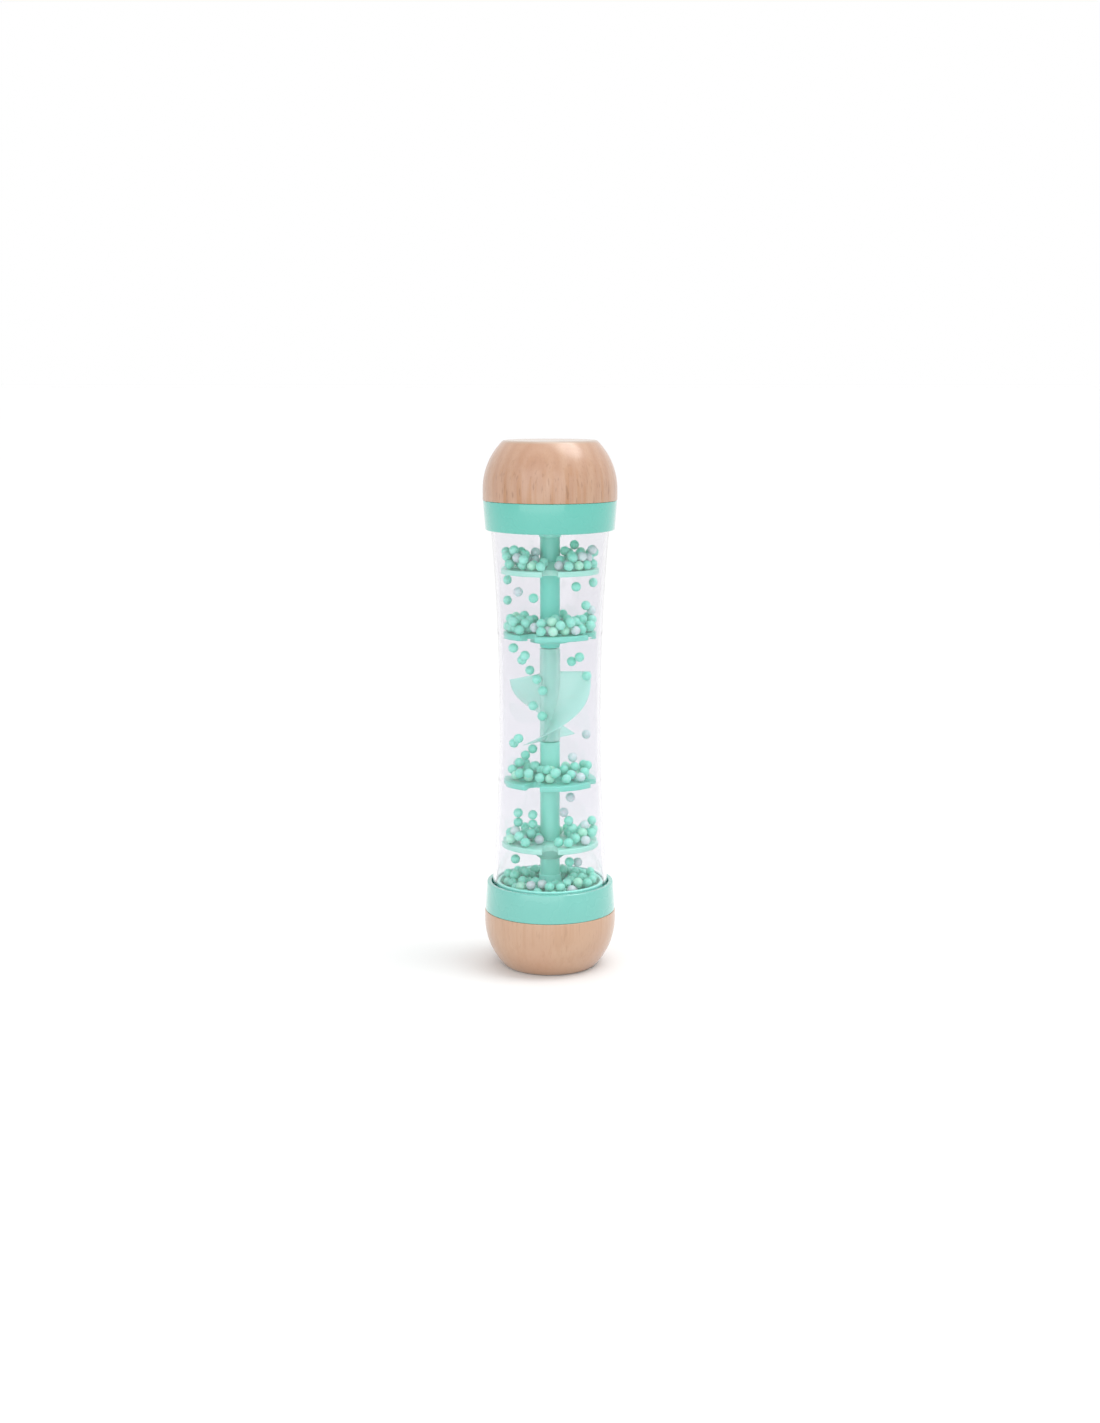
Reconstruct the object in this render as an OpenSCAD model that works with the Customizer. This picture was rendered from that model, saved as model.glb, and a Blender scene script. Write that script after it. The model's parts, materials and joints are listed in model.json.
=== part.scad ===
// Toy rain-maker: a waisted clear tube between two wooden caps. Beads fall past
// four slotted shelves and a free-turning twisted vane on a central stem.
// The stick stands on its lower cap with its axis on +Z and the origin at the
// centre of the lower flat. The upper end is the lower end's mirror image.

/* [Stick] */
// Overall height
total_h = 200; // [196:1:206]
// Largest diameter, at the wooden caps
cap_d = 50; // [49:0.5:52]

/* [Wooden caps] */
// Height of a wooden cap
cap_h = 22; // [21:0.5:23]
// Radius of a cap's flat end
flat_r = 17.3; // [16:0.1:18]
// Rounding where the flat meets the dome
flat_edge_r = 1.6; // [0.8:0.1:2]

/* [Collars] */
// Visible height of a plastic collar
collar_h = 11; // [10:0.5:12]
// Outer radius of a collar at its tube side
collar_rim_r = 24.1; // [23.8:0.1:24.3]

/* [Clear tube] */
// Outer radius at the waist
waist_r = 19.2; // [19.1:0.1:19.4]
// Outer radius where the tube goes into a collar
tube_end_r = 22; // [21.9:0.05:22.1]
// Wall thickness
tube_wall = 1.3; // [1.2:0.1:1.3]

/* [Stem] */
// Diameter of the central posts
post_d = 7.5; // [7:0.1:7.6]
// Diameter of the axle that joins the posts
axle_d = 4.44; // [4.2:0.02:4.6]

/* [Shelves] */
// Distance of the outer shelves from the middle of the stick
outer_shelf_z = 52; // [51.5:0.1:52.5]
// Distance of the inner shelves from the middle of the stick
inner_shelf_z = 28; // [27.8:0.1:28.2]
// Radius of the outer shelves
outer_shelf_r = 18.6; // [18.2:0.1:18.8]
// Radius of the inner shelves
inner_shelf_r = 17.5; // [17.2:0.1:17.6]
// Thickness of a shelf
shelf_t = 2; // [1.8:0.1:2.2]

/* [Spinner] */
// Radius of the vane's blades
vane_r = 15.5; // [14.5:0.1:15.7]
// How far the blades turn from top to bottom, in degrees
vane_twist = 130; // [100:5:140]
// Blade thickness
vane_t = 1; // [0.8:0.1:1.2]

/* [Beads] */
// Bead diameter
bead_d = 3.6; // [3.5:0.05:3.6]

/* [Hidden] */

$fn = 96;
mid_z = total_h / 2;
cap_r = cap_d / 2;
dome_z = sqrt(cap_r * cap_r - flat_r * flat_r); // height of the dome's centre
post_r = post_d / 2;
axle_r = axle_d / 2;
fit = 0.02;        // clearance of a glued or pressed joint
run = 0.08;        // radial clearance of the turning hub

// Levels of the lower end, from the flat upwards
recess_h = 4;                          // depth of the cap's glue recess
plug_r = 19.5;                         // collar plug that sits in the recess
web_z = cap_h + 1.6;                   // top of the collar's web
collar_top_z = cap_h + collar_h;
seat_z = web_z + 0.1;                  // underside of the end cup
flange_t = 1.1;                        // cup flange under the tube's end
tube_z = seat_z + flange_t + 0.05;     // lower end of the tube
tube_flange_t = 1.4;
band_r = 23.1;                         // inside of the collar around the tube
lip_r = 22.35;                         // collar's lip over the tube's flange
lip_h = 1.8;
cup_r = 20.2;                          // outside of the end cup's wall
cup_wall = 1.2;
cup_floor_z = web_z + 3.6;             // bead side of the cup's floor
cup_floor_t = 2;
boss_h = 8.4;                          // height of the cup's socket for the post
boss_top_z = cup_floor_z + boss_h;
boss_foot_r = 7.5;
boss_tip_r = post_r + 0.45;
post_foot_z = cup_floor_z + 1;

// Spinner levels
hub_r = 3.85;
hub_z = [87.3, 122.7];
vane_z = [87.6, 113.8];
left_blade_drop = 3.4;                 // how much lower the left blade's tip starts
twist_power = 1.6;                     // the blades turn slowly at first
axle_grip = 11;                        // length of the axle inside each post

// Shelf details
slot_r = 2.6;
slot_in = 4.6;
hole_r = 2.5;
hole_ring_r = 10.6;
openings_n = 4;
cone_r = 10.5;
cone_tip_r = post_r + 0.6;
upper_cone_h = 2.4;                    // hub of shelf 1, on its upper side
lower_cone_h = 5;                      // hub of shelf 4, on its lower side
flange_r = 7.5;
flange_h = 2;
shelf_turn = [0, 62, -22, 0];        // slot direction of shelves 1 to 4

// Screws
screw_ring_r = 12;
screw_n = 3;
screw_r = 1.4;
screw_head_r = 2.8;
screw_head_h = 1.6;
screw_l = 14;
post_screw_r = 1.2;
post_screw_head_r = 2.6;
post_screw_l = 9;

// Beads
bead_r = bead_d / 2;
touch = bead_d + 0.03;                 // closest distance between bead centres
lift = 0.05;                           // gap under a bead that lies on a surface
tries = 48;                            // places tried for each bead of a pile

MINT = "#69d3b8";
DEEP_MINT = "#3fc2a0";
PALE_MINT = "#a5e5d2";
BEECH = "#d9a877";
CLEAR = [0.93, 0.93, 0.97, 0.3];
STEEL = "#b9bcc0";
BEAD_COLOURS = ["#6fcfb2", "#b5e6b4", "#e9e4ec"];

// ---- shared shapes -------------------------------------------------------

// Points of an arc about c, from angle a0 to a1, in n steps
function arc(c, r, a0, a1, n) =
    [for (i = [0:n]) let (a = a0 + (a1 - a0) * i / n) [c.x + r * cos(a), c.y + r * sin(a)]];

// Shows a piece of the lower end at the upper end
module at_top() { translate([0, 0, total_h]) mirror([0, 0, 1]) children(); }

module ring(r_out, r_in, z0, z1) {
    translate([0, 0, z0]) difference() {
        cylinder(r = r_out, h = z1 - z0);
        translate([0, 0, -1]) cylinder(r = r_in, h = z1 - z0 + 2);
    }
}

module screw_places() {
    for (i = [0:screw_n - 1]) rotate([0, 0, 30 + 360 / screw_n * i])
        translate([screw_ring_r, 0, 0]) children();
}

// ---- wooden caps and collars ---------------------------------------------

// The rounded corner between the flat and the dome touches both of them
corner_r = cap_r - flat_edge_r;
corner_x = sqrt(corner_r * corner_r - (dome_z - flat_edge_r) * (dome_z - flat_edge_r));
corner_a = atan2(flat_edge_r - dome_z, corner_x);

module cap_body() {
    dome = arc([0, dome_z], cap_r, corner_a, 0, 24);
    corner = arc([corner_x, flat_edge_r], flat_edge_r, -90, corner_a, 8);
    rotate_extrude() polygon(concat([[0, 0]], corner, dome, [[cap_r, cap_h], [0, cap_h]]));
}

module end_cap() {
    color(BEECH) difference() {
        cap_body();
        translate([0, 0, cap_h - recess_h]) cylinder(r = plug_r + 0.1, h = recess_h + 1);
        screw_places() translate([0, 0, web_z - screw_l - 0.5])
            cylinder(r = screw_r + fit, h = screw_l, $fn = 32);
    }
}

module collar() {
    foot_r = cap_r - 0.1;
    rim_round = 0.5;
    color(MINT) difference() {
        rotate_extrude() polygon(concat(
            [[6, cap_h - recess_h + 0.1], [plug_r, cap_h - recess_h + 0.1], [plug_r, cap_h]],
            [[foot_r - 0.3, cap_h], [foot_r, cap_h + 0.3]],
            arc([collar_rim_r - rim_round, collar_top_z - rim_round], rim_round, 0, 90, 5),
            [[lip_r, collar_top_z], [lip_r, collar_top_z - lip_h]],
            [[band_r, collar_top_z - lip_h - 0.75], [band_r, web_z], [6, web_z]]
        ));
        screw_places() {
            translate([0, 0, cap_h - recess_h - 1]) cylinder(r = screw_r + 0.2, h = 9, $fn = 32);
            translate([0, 0, web_z - screw_head_h - 0.1])
                cylinder(r1 = screw_r + 0.2, r2 = screw_head_r + 0.3, h = screw_head_h + 0.11, $fn = 48);
        }
    }
}

module cap_screws() {
    tip_h = 3;
    slot_w = 0.6;
    color(STEEL) screw_places() translate([0, 0, web_z - 0.1]) mirror([0, 0, 1]) difference() {
        union() {
            cylinder(r1 = screw_head_r, r2 = screw_r, h = screw_head_h, $fn = 48);
            cylinder(r = screw_r, h = screw_l - tip_h, $fn = 32);
            translate([0, 0, screw_l - tip_h]) cylinder(r1 = screw_r, r2 = 0.3, h = tip_h, $fn = 32);
        }
        for (a = [0, 90]) rotate([0, 0, a]) translate([-1.4, -slot_w / 2, -1])
            cube([2.8, slot_w, 1.9]);
    }
}

// ---- clear tube ----------------------------------------------------------

half_l = mid_z - collar_top_z;
flare = tube_end_r - waist_r;
sweep_r = (half_l * half_l + flare * flare) / (2 * flare);
function tube_r(z) = waist_r + sweep_r - sqrt(sweep_r * sweep_r - (z - mid_z) * (z - mid_z));

module clear_tube() {
    steps = 36;
    z_low = tube_z;
    z_high = total_h - tube_z;
    levels = [for (i = [0:steps]) z_low + (z_high - z_low) * i / steps];
    outside = [for (z = levels) [tube_r(z), z]];
    inside = [for (z = levels) [tube_r(z) - tube_wall, z]];
    ring_h = 0.8; // height of the moulded ring at each inner shelf
    color(CLEAR) difference() {
        union() {
            rotate_extrude($fn = 128) polygon(concat(outside, [[12, z_high], [12, z_low]]));
            for (z = [z_low, z_high - tube_flange_t]) ring(band_r - 0.1, 12, z, z + tube_flange_t);
            for (side = [-1, 1]) translate([0, 0, mid_z + side * inner_shelf_z])
                ring(tube_r(mid_z + inner_shelf_z) + 0.12, 12, -ring_h / 2, ring_h / 2);
        }
        rotate_extrude($fn = 128) polygon(concat(
            [[0, z_low - 1], [inside[0].x, z_low - 1]], inside,
            [[inside[steps].x, z_high + 1], [0, z_high + 1]]
        ));
    }
}

// ---- end cups and stem ---------------------------------------------------

module end_cup() {
    rim_z = collar_top_z + 0.4;
    inner_r = cup_r - cup_wall;
    corner = 1.6; // inside corner between the floor and the wall
    spread = boss_foot_r - boss_tip_r;
    boss_a = 2 * atan2(spread, boss_h); // angle of the socket's hollow flare
    flare_r = boss_h / sin(boss_a);
    color(DEEP_MINT) difference() {
        rotate_extrude() polygon(concat(
            [[0, cup_floor_z - cup_floor_t], [cup_r - 2, cup_floor_z - cup_floor_t]],
            [[cup_r - 2, seat_z], [band_r - 0.2, seat_z], [band_r - 0.2, seat_z + flange_t]],
            [[cup_r, seat_z + flange_t]],
            arc([cup_r - cup_wall / 2, rim_z - cup_wall / 2], cup_wall / 2, 0, 180, 8),
            arc([inner_r - corner, cup_floor_z + corner], corner, 0, -90, 6),
            arc([boss_tip_r + flare_r, boss_top_z], flare_r, 180 + boss_a, 180, 10),
            [[0, boss_top_z]]
        ));
        translate([0, 0, post_foot_z - fit]) cylinder(r = post_r + fit, h = 20);
        translate([0, 0, cup_floor_z - 5]) cylinder(r = post_screw_r + 0.2, h = 8, $fn = 32);
    }
}

module post(z0, z1, screw_end, axle_end) {
    low = min(z0, z1);
    difference() {
        translate([0, 0, low]) cylinder(r = post_r, h = abs(z1 - z0));
        translate([0, 0, axle_end]) cylinder(r = axle_r + fit, h = 2 * axle_grip + 2, center = true);
        translate([0, 0, screw_end])
            cylinder(r = post_screw_r + fit, h = 2 * post_screw_l + 2, center = true, $fn = 32);
    }
}

module lower_post() {
    top = hub_z[0] - 0.3;
    color(DEEP_MINT) post(post_foot_z, top, post_foot_z, top);
}

module upper_post() {
    foot = hub_z[1] + 0.3;
    color(DEEP_MINT) post(total_h - post_foot_z, foot, total_h - post_foot_z, foot);
}

module spinner_axle() {
    low = hub_z[0] - 0.3 - axle_grip;
    high = hub_z[1] + 0.3 + axle_grip;
    color(DEEP_MINT) translate([0, 0, low]) cylinder(r = axle_r, h = high - low);
}

module post_screw() {
    head_z = cup_floor_z - cup_floor_t;
    head_h = 1.3;
    color(STEEL) difference() {
        union() {
            translate([0, 0, head_z - head_h - fit]) cylinder(r = post_screw_head_r, h = head_h, $fn = 48);
            translate([0, 0, head_z - 0.5])
                cylinder(r = post_screw_r, h = post_foot_z + post_screw_l - head_z, $fn = 32);
        }
        for (a = [0, 90]) rotate([0, 0, a]) translate([-1.5, -0.3, head_z - head_h - 1])
            cube([3, 0.6, 1.7]);
    }
}

// ---- shelves -------------------------------------------------------------

// One shelf with its plate centred on z = 0. The hub's cone, or its flange if
// cone_h is 0, is on the side that side = 1 (up) or -1 (down) names.
module shelf(r, turn, side, cone_h) {
    edge = 0.35;
    difference() {
        union() {
            rotate_extrude() polygon([
                [0, -shelf_t / 2], [r - edge, -shelf_t / 2], [r, -shelf_t / 2 + edge],
                [r, shelf_t / 2 - edge], [r - edge, shelf_t / 2], [0, shelf_t / 2]
            ]);
            if (cone_h > 0) {
                mirror([0, 0, side < 0 ? 1 : 0]) translate([0, 0, shelf_t / 2])
                    cylinder(r1 = cone_r, r2 = cone_tip_r, h = cone_h);
            } else {
                translate([0, 0, side > 0 ? shelf_t / 2 : -shelf_t / 2 - flange_h])
                    cylinder(r = flange_r, h = flange_h);
            }
        }
        translate([0, 0, -20]) cylinder(r = post_r + fit, h = 40);
        for (i = [0:openings_n - 1]) rotate([0, 0, turn + 360 / openings_n * i]) {
            translate([r - slot_in, 0, -5]) cylinder(r = slot_r, h = 10, $fn = 48);
            translate([r - slot_in, -slot_r, -5]) cube([slot_in + 2, 2 * slot_r, 10]);
            rotate([0, 0, 180 / openings_n]) translate([hole_ring_r, 0, -5])
                cylinder(r = hole_r, h = 10, $fn = 48);
        }
    }
}

module shelf_1() {
    color(PALE_MINT) translate([0, 0, mid_z + outer_shelf_z])
        shelf(outer_shelf_r, shelf_turn[0], 1, upper_cone_h);
}
module shelf_2() {
    color(MINT) translate([0, 0, mid_z + inner_shelf_z])
        shelf(inner_shelf_r, shelf_turn[1], -1, 0);
}
module shelf_3() {
    color(MINT) translate([0, 0, mid_z - inner_shelf_z])
        shelf(inner_shelf_r, shelf_turn[2], 1, 0);
}
module shelf_4() {
    color(PALE_MINT) translate([0, 0, mid_z - outer_shelf_z])
        shelf(outer_shelf_r, shelf_turn[3], -1, lower_cone_h);
}

// ---- spinner -------------------------------------------------------------

// A blade is a grid of points on both of its sides. The right blade is side 1
// and the left blade is side -1.
function vane_angle(z) =
    vane_twist * pow(max(0, (vane_z[1] - z) / (vane_z[1] - vane_z[0])), twist_power);
function blade_point(side, rad, u, half) =
    let (
        top = vane_z[1] - (side < 0 ? left_blade_drop * rad / vane_r : 0),
        z = top + (vane_z[0] - top) * u,
        a = vane_angle(z)
    )
    [side * rad * cos(a) + half * sin(a), -side * rad * sin(a) + half * cos(a), z];

module blade(side) {
    rows = 22;
    cols = 5;
    root_r = hub_r - 0.9;
    w = cols + 1;
    count = (rows + 1) * w;
    points = [for (half = [vane_t / 2, -vane_t / 2]) for (i = [0:rows]) for (j = [0:cols])
        blade_point(side, root_r + (vane_r - root_r) * j / cols, i / rows, half)];
    function quad(a, b, c, d) = side < 0 ? [[a, b, c], [a, c, d]] : [[c, b, a], [d, c, a]];
    front = [for (i = [0:rows - 1]) for (j = [0:cols - 1])
        each quad(i * w + j, i * w + j + 1, (i + 1) * w + j + 1, (i + 1) * w + j)];
    back = [for (f = front) [f[2] + count, f[1] + count, f[0] + count]];
    top = [for (j = [0:cols - 1]) each quad(j + 1, j, count + j, count + j + 1)];
    foot = [for (j = [0:cols - 1]) let (k = rows * w + j)
        each quad(k, k + 1, count + k + 1, count + k)];
    root = [for (i = [0:rows - 1]) let (k = i * w)
        each quad(k, k + w, count + k + w, count + k)];
    tip = [for (i = [0:rows - 1]) let (k = i * w + cols)
        each quad(k + w, k, count + k, count + k + w)];
    polyhedron(points = points, faces = concat(front, back, top, foot, root, tip));
}

module spinner() {
    color(PALE_MINT) difference() {
        union() {
            translate([0, 0, hub_z[0]]) cylinder(r = hub_r, h = hub_z[1] - hub_z[0]);
            blade(1);
            blade(-1);
        }
        translate([0, 0, hub_z[0] - 1]) cylinder(r = axle_r + run, h = hub_z[1] - hub_z[0] + 2);
    }
}

// ---- beads ---------------------------------------------------------------

// A repeatable number from 0 to 1 for bead i, draw k and pile s
function draw(i, k, s) = let (v = sin(i * 127.1 + k * 311.7 + s * 74.7) * 43758.5453) v - floor(v);

// Height of a bead's centre at radius rad on a floor. A cone of height cone
// round the stem holds it up, or a flange of height ledge does.
function floor_height(rad, floor_z, cone, ledge) =
    let (
        slope = atan2(cone, cone_r - cone_tip_r),
        on_cone = (cone_r - rad) * tan(slope) + bead_r / cos(slope)
    )
    floor_z + lift + max(bead_r, cone > 0 ? on_cone : 0,
        ledge > 0 && rad < flange_r + bead_r ? ledge + bead_r : 0);

// Height at which a bead dropped at x, y comes to rest on a pile
function rest_height(x, y, pile, ground) = max([ground, for (b = pile)
    let (d2 = (x - b.x) * (x - b.x) + (y - b.y) * (y - b.y))
    if (d2 < touch * touch) b.z + sqrt(touch * touch - d2)]);

// True if a bead at x, y would lie over a slot or hole of a shelf turned by turn
function over_gap(x, y, shelf_r, turn) =
    shelf_r > 0 && len([for (i = [0:openings_n - 1])
        let (
            a = turn + 360 / openings_n * i,
            b = a + 180 / openings_n,
            along = x * cos(a) + y * sin(a),
            across = abs(y * cos(a) - x * sin(a)),
            hole = norm([x - hole_ring_r * cos(b), y - hole_ring_r * sin(b)])
        )
        if (hole < hole_r + 0.2 || (across < slot_r + 0.2 && along > shelf_r - slot_in - slot_r)) i
    ]) > 0;

// Pile settings: [seed, beads, floor, inner radius, outer radius, cone, ledge,
// shelf radius, shelf turn, heap directions, how strongly the beads heap there, tries]
function place(p, pile, i, k) =
    let (
        rad = sqrt(p[3] * p[3] + (p[4] * p[4] - p[3] * p[3]) * draw(i, 2 * k, p[0])),
        a = 360 * draw(i, 2 * k + 1, p[0]),
        x = rad * cos(a),
        y = rad * sin(a),
        ground = floor_height(rad, p[2], p[5], p[6]),
        z = rest_height(x, y, pile, ground),
        sinks = z < ground + 0.01 && over_gap(x, y, p[7], p[8]),
        away = min([for (h = p[9]) 1 - cos(a - h)])
    )
    [x, y, z, z + p[10] * away + (sinks ? 1000 : 0)];

function grow(p, pile, i) =
    i >= p[1] ? pile :
    let (
        spots = [for (k = [0:p[11] - 1]) place(p, pile, i, k)],
        best = min([for (s = spots) s[3]]),
        spot = [for (s = spots) if (s[3] == best) s][0]
    )
    grow(p, concat(pile, [[spot.x, spot.y, spot.z]]), i + 1);

// Adds the last beads, each dropped at its own x, y
function top_up(p, pile, tops, i) =
    i >= len(tops) ? pile :
    let (ground = floor_height(norm(tops[i]), p[2], p[5], p[6]))
    top_up(p, concat(pile, [[tops[i].x, tops[i].y, rest_height(tops[i].x, tops[i].y, pile, ground)]]),
        tops, i + 1);

PILE_1 = [1, 60, mid_z + outer_shelf_z + shelf_t / 2, 5.8, 16.9, upper_cone_h, 0,
    outer_shelf_r, shelf_turn[0], [-12, 195], 8, tries];
PILE_2 = [2, 66, mid_z + inner_shelf_z + shelf_t / 2, 5.8, 16.3, 0, 0,
    inner_shelf_r, shelf_turn[1], [0, 190, 275], 5, tries];
PILE_3 = [3, 42, mid_z - inner_shelf_z + shelf_t / 2, 5.8, 14.4, 0, flange_h,
    inner_shelf_r, shelf_turn[2], [-15, 180, 265], 5, tries];
PILE_4 = [4, 36, mid_z - outer_shelf_z + shelf_t / 2, 5.8, 16.8, 0, 0,
    outer_shelf_r, shelf_turn[3], [-5, 190], 4, 20];
CUP_PILE = [5, 112, cup_floor_z, 8.5, 16.8, 0, 0, 0, 0, [20, 160, 280], 2, tries];

// Last beads of each pile: [x, y]
TOPS_1 = [[9.1, 0]];
TOPS_2 = [[15.6, 1], [13.4, -1], [5, 9]];
TOPS_3 = [[-11.6, -2], [-9.3, -1], [-6.6, 0], [8.5, -3]];
TOPS_4 = [[-12, -4], [-12, -4], [-6.5, -5], [-6.5, -5], [8.5, -5], [7, -6], [5.2, -5], [13, -4], [16, 0]];

// Where each pile shows a lime or pearl bead from the front: [x, z, colour]
ACCENTS_1 = [[-13, 155.5, 2], [14.5, 161, 2], [10.5, 159, 2], [10.5, 155, 1], [-6, 156, 1]];
ACCENTS_2 = [[0, 131, 1], [4.3, 131, 1], [2, 134, 1], [-6.5, 131, 2], [10, 131.5, 2], [15.6, 137, 2]];
ACCENTS_3 = [[11, 76, 2], [8.5, 81, 2], [-8, 75, 1], [1.5, 75, 1]];
ACCENTS_4 = [[-2.5, 51, 2], [5.2, 60, 2], [13, 56, 2], [13, 52.5, 2], [-14, 51, 1]];
ACCENTS_CUP = [[-8.5, 33, 2], [7.5, 33, 2], [-3, 34, 2], [10.5, 34, 1], [-12, 35, 1]];

// Colours of a pile's beads: 0 mint, 1 lime, 2 pearl. The foremost bead near an
// accent has its colour, and a few of the others are lime or pearl.
function tints(beads, accents, s) =
    let (nearest = [for (a = accents)
        let (gaps = [for (b = beads) norm([a[0] - b.x, 0.3 * (b.y + 16), a[1] - b.z])])
        search(min(gaps), gaps)[0]])
    [for (i = [0:len(beads) - 1])
        let (accent = search(i, nearest), d = draw(i, 97, s))
        len(accent) > 0 ? accents[accent[0]][2] : d < 0.86 ? 0 : d < 0.92 ? 1 : 2];

module bead_pile(p, tops, accents, which) {
    beads = top_up(p, grow(p, [], 0), tops, 0);
    tint = tints(beads, accents, p[0]);
    for (i = [0:len(beads) - 1]) if (tint[i] == which) color(BEAD_COLOURS[which])
        translate(beads[i]) sphere(r = bead_r, $fn = 40);
}

module loose_beads(places, which) {
    color(BEAD_COLOURS[which]) for (at = places) translate(at) sphere(r = bead_r, $fn = 40);
}

// Beads on their way down, and those lying on or beside the vane
UPPER_MINT = [[-16.3, 5, 147.8], [16.4, 3, 147], [9.5, -10, 146.8], [-16.3, 4, 140.2], [-6, -12, 142.8]];
UPPER_PEARL = [[-11.6, -9, 144.8]];
MIDDLE_MINT = [[-13.4, -7, 123.6], [-9.2, -8, 120.9], [-10.4, -4.4, 118.7], [8, -6, 118.4], [10.8, -8, 120.3]];
LOWER_MINT = [[-13, -6, 42.6], [7.3, -9, 42.2]];
LOWER_PEARL = [[7.6, -8, 67], [10.4, -6.2, 41.4]];
VANE_MINT = [[-7.6, 0, 114.2], [-4.9, -3.5, 111.2], [-2.8, -5.2, 107.2], [-6.4, -2.4, 101], [-3, -5.5, 97.6],
    [13.6, -3.9, 112.6], [-11.6, -8.5, 89.6], [-13.4, -5.4, 87.3]];
VANE_PEARL = [[14, 4, 88.9]];

end_cap();  // wooden_cap_bottom
at_top() end_cap();  // wooden_cap_top
collar();  // collar_bottom
at_top() collar();  // collar_top
clear_tube();
end_cup();  // end_cup_bottom
at_top() end_cup();  // end_cup_top
lower_post();
upper_post();
spinner_axle();
spinner();
shelf_1();
shelf_2();
shelf_3();
shelf_4();
cap_screws();  // cap_screws_bottom
at_top() cap_screws();  // cap_screws_top
post_screw();  // post_screw_bottom
at_top() post_screw();  // post_screw_top
bead_pile(PILE_1, TOPS_1, ACCENTS_1, 0);  // shelf_1_beads_mint
bead_pile(PILE_1, TOPS_1, ACCENTS_1, 1);  // shelf_1_beads_lime
bead_pile(PILE_1, TOPS_1, ACCENTS_1, 2);  // shelf_1_beads_pearl
bead_pile(PILE_2, TOPS_2, ACCENTS_2, 0);  // shelf_2_beads_mint
bead_pile(PILE_2, TOPS_2, ACCENTS_2, 1);  // shelf_2_beads_lime
bead_pile(PILE_2, TOPS_2, ACCENTS_2, 2);  // shelf_2_beads_pearl
bead_pile(PILE_3, TOPS_3, ACCENTS_3, 0);  // shelf_3_beads_mint
bead_pile(PILE_3, TOPS_3, ACCENTS_3, 1);  // shelf_3_beads_lime
bead_pile(PILE_3, TOPS_3, ACCENTS_3, 2);  // shelf_3_beads_pearl
bead_pile(PILE_4, TOPS_4, ACCENTS_4, 0);  // shelf_4_beads_mint
bead_pile(PILE_4, TOPS_4, ACCENTS_4, 1);  // shelf_4_beads_lime
bead_pile(PILE_4, TOPS_4, ACCENTS_4, 2);  // shelf_4_beads_pearl
bead_pile(CUP_PILE, [], ACCENTS_CUP, 0);  // end_cup_beads_mint
bead_pile(CUP_PILE, [], ACCENTS_CUP, 1);  // end_cup_beads_lime
bead_pile(CUP_PILE, [], ACCENTS_CUP, 2);  // end_cup_beads_pearl
loose_beads(UPPER_MINT, 0);  // upper_falling_beads_mint
loose_beads(UPPER_PEARL, 2);  // upper_falling_beads_pearl
loose_beads(MIDDLE_MINT, 0);  // middle_falling_beads_mint
loose_beads(LOWER_MINT, 0);  // lower_falling_beads_mint
loose_beads(LOWER_PEARL, 2);  // lower_falling_beads_pearl
loose_beads(VANE_MINT, 0);  // vane_beads_mint
loose_beads(VANE_PEARL, 2);  // vane_beads_pearl
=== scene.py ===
"""A toy rainstick: wooden caps, mint collars and a clear waisted tube of beads.

Every piece is in metres in the CAD frame: +Z along the stick, -Y towards the
viewer, the origin under the lower cap. Round pieces are turned again from
smooth profiles; beads go where the CAD's beads are.
"""
import json
import math
import random

import bmesh
import bpy
from mathutils import Matrix, Vector


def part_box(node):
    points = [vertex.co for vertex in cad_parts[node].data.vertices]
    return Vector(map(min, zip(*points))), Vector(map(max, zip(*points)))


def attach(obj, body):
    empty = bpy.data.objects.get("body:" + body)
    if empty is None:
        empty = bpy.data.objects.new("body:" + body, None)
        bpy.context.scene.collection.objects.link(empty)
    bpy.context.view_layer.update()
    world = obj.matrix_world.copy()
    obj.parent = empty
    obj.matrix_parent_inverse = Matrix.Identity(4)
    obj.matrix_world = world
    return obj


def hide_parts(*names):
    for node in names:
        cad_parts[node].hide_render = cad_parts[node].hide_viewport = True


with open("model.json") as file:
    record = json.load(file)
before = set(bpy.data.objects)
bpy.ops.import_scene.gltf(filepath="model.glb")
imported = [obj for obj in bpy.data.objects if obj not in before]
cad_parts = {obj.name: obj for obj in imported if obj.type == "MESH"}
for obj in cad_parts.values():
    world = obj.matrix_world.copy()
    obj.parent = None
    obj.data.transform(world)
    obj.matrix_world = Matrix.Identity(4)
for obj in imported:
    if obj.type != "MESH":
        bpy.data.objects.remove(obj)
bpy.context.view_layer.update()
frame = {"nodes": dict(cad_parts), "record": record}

MM = 0.001
NODES = frame["nodes"]
BODIES = frame["record"]["behaviour"]["bodies"]
BODY_OF = {node: body for body, members in BODIES.items() for node in members}
SLOT_OF = {s["node"]: s["material_slot"] for s in frame["record"]["subparts"]}

TOTAL_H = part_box("wooden_cap_top")[1].z / MM
MID_Z = TOTAL_H / 2


# ---- mesh helpers ----------------------------------------------------------

def arc(cx, cy, r, a0, a1, steps):
    """Points of an arc, with its angles in degrees."""
    angles = [math.radians(a0 + (a1 - a0) * i / steps) for i in range(steps + 1)]
    return [(cx + r * math.cos(a), cy + r * math.sin(a)) for a in angles]


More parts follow.
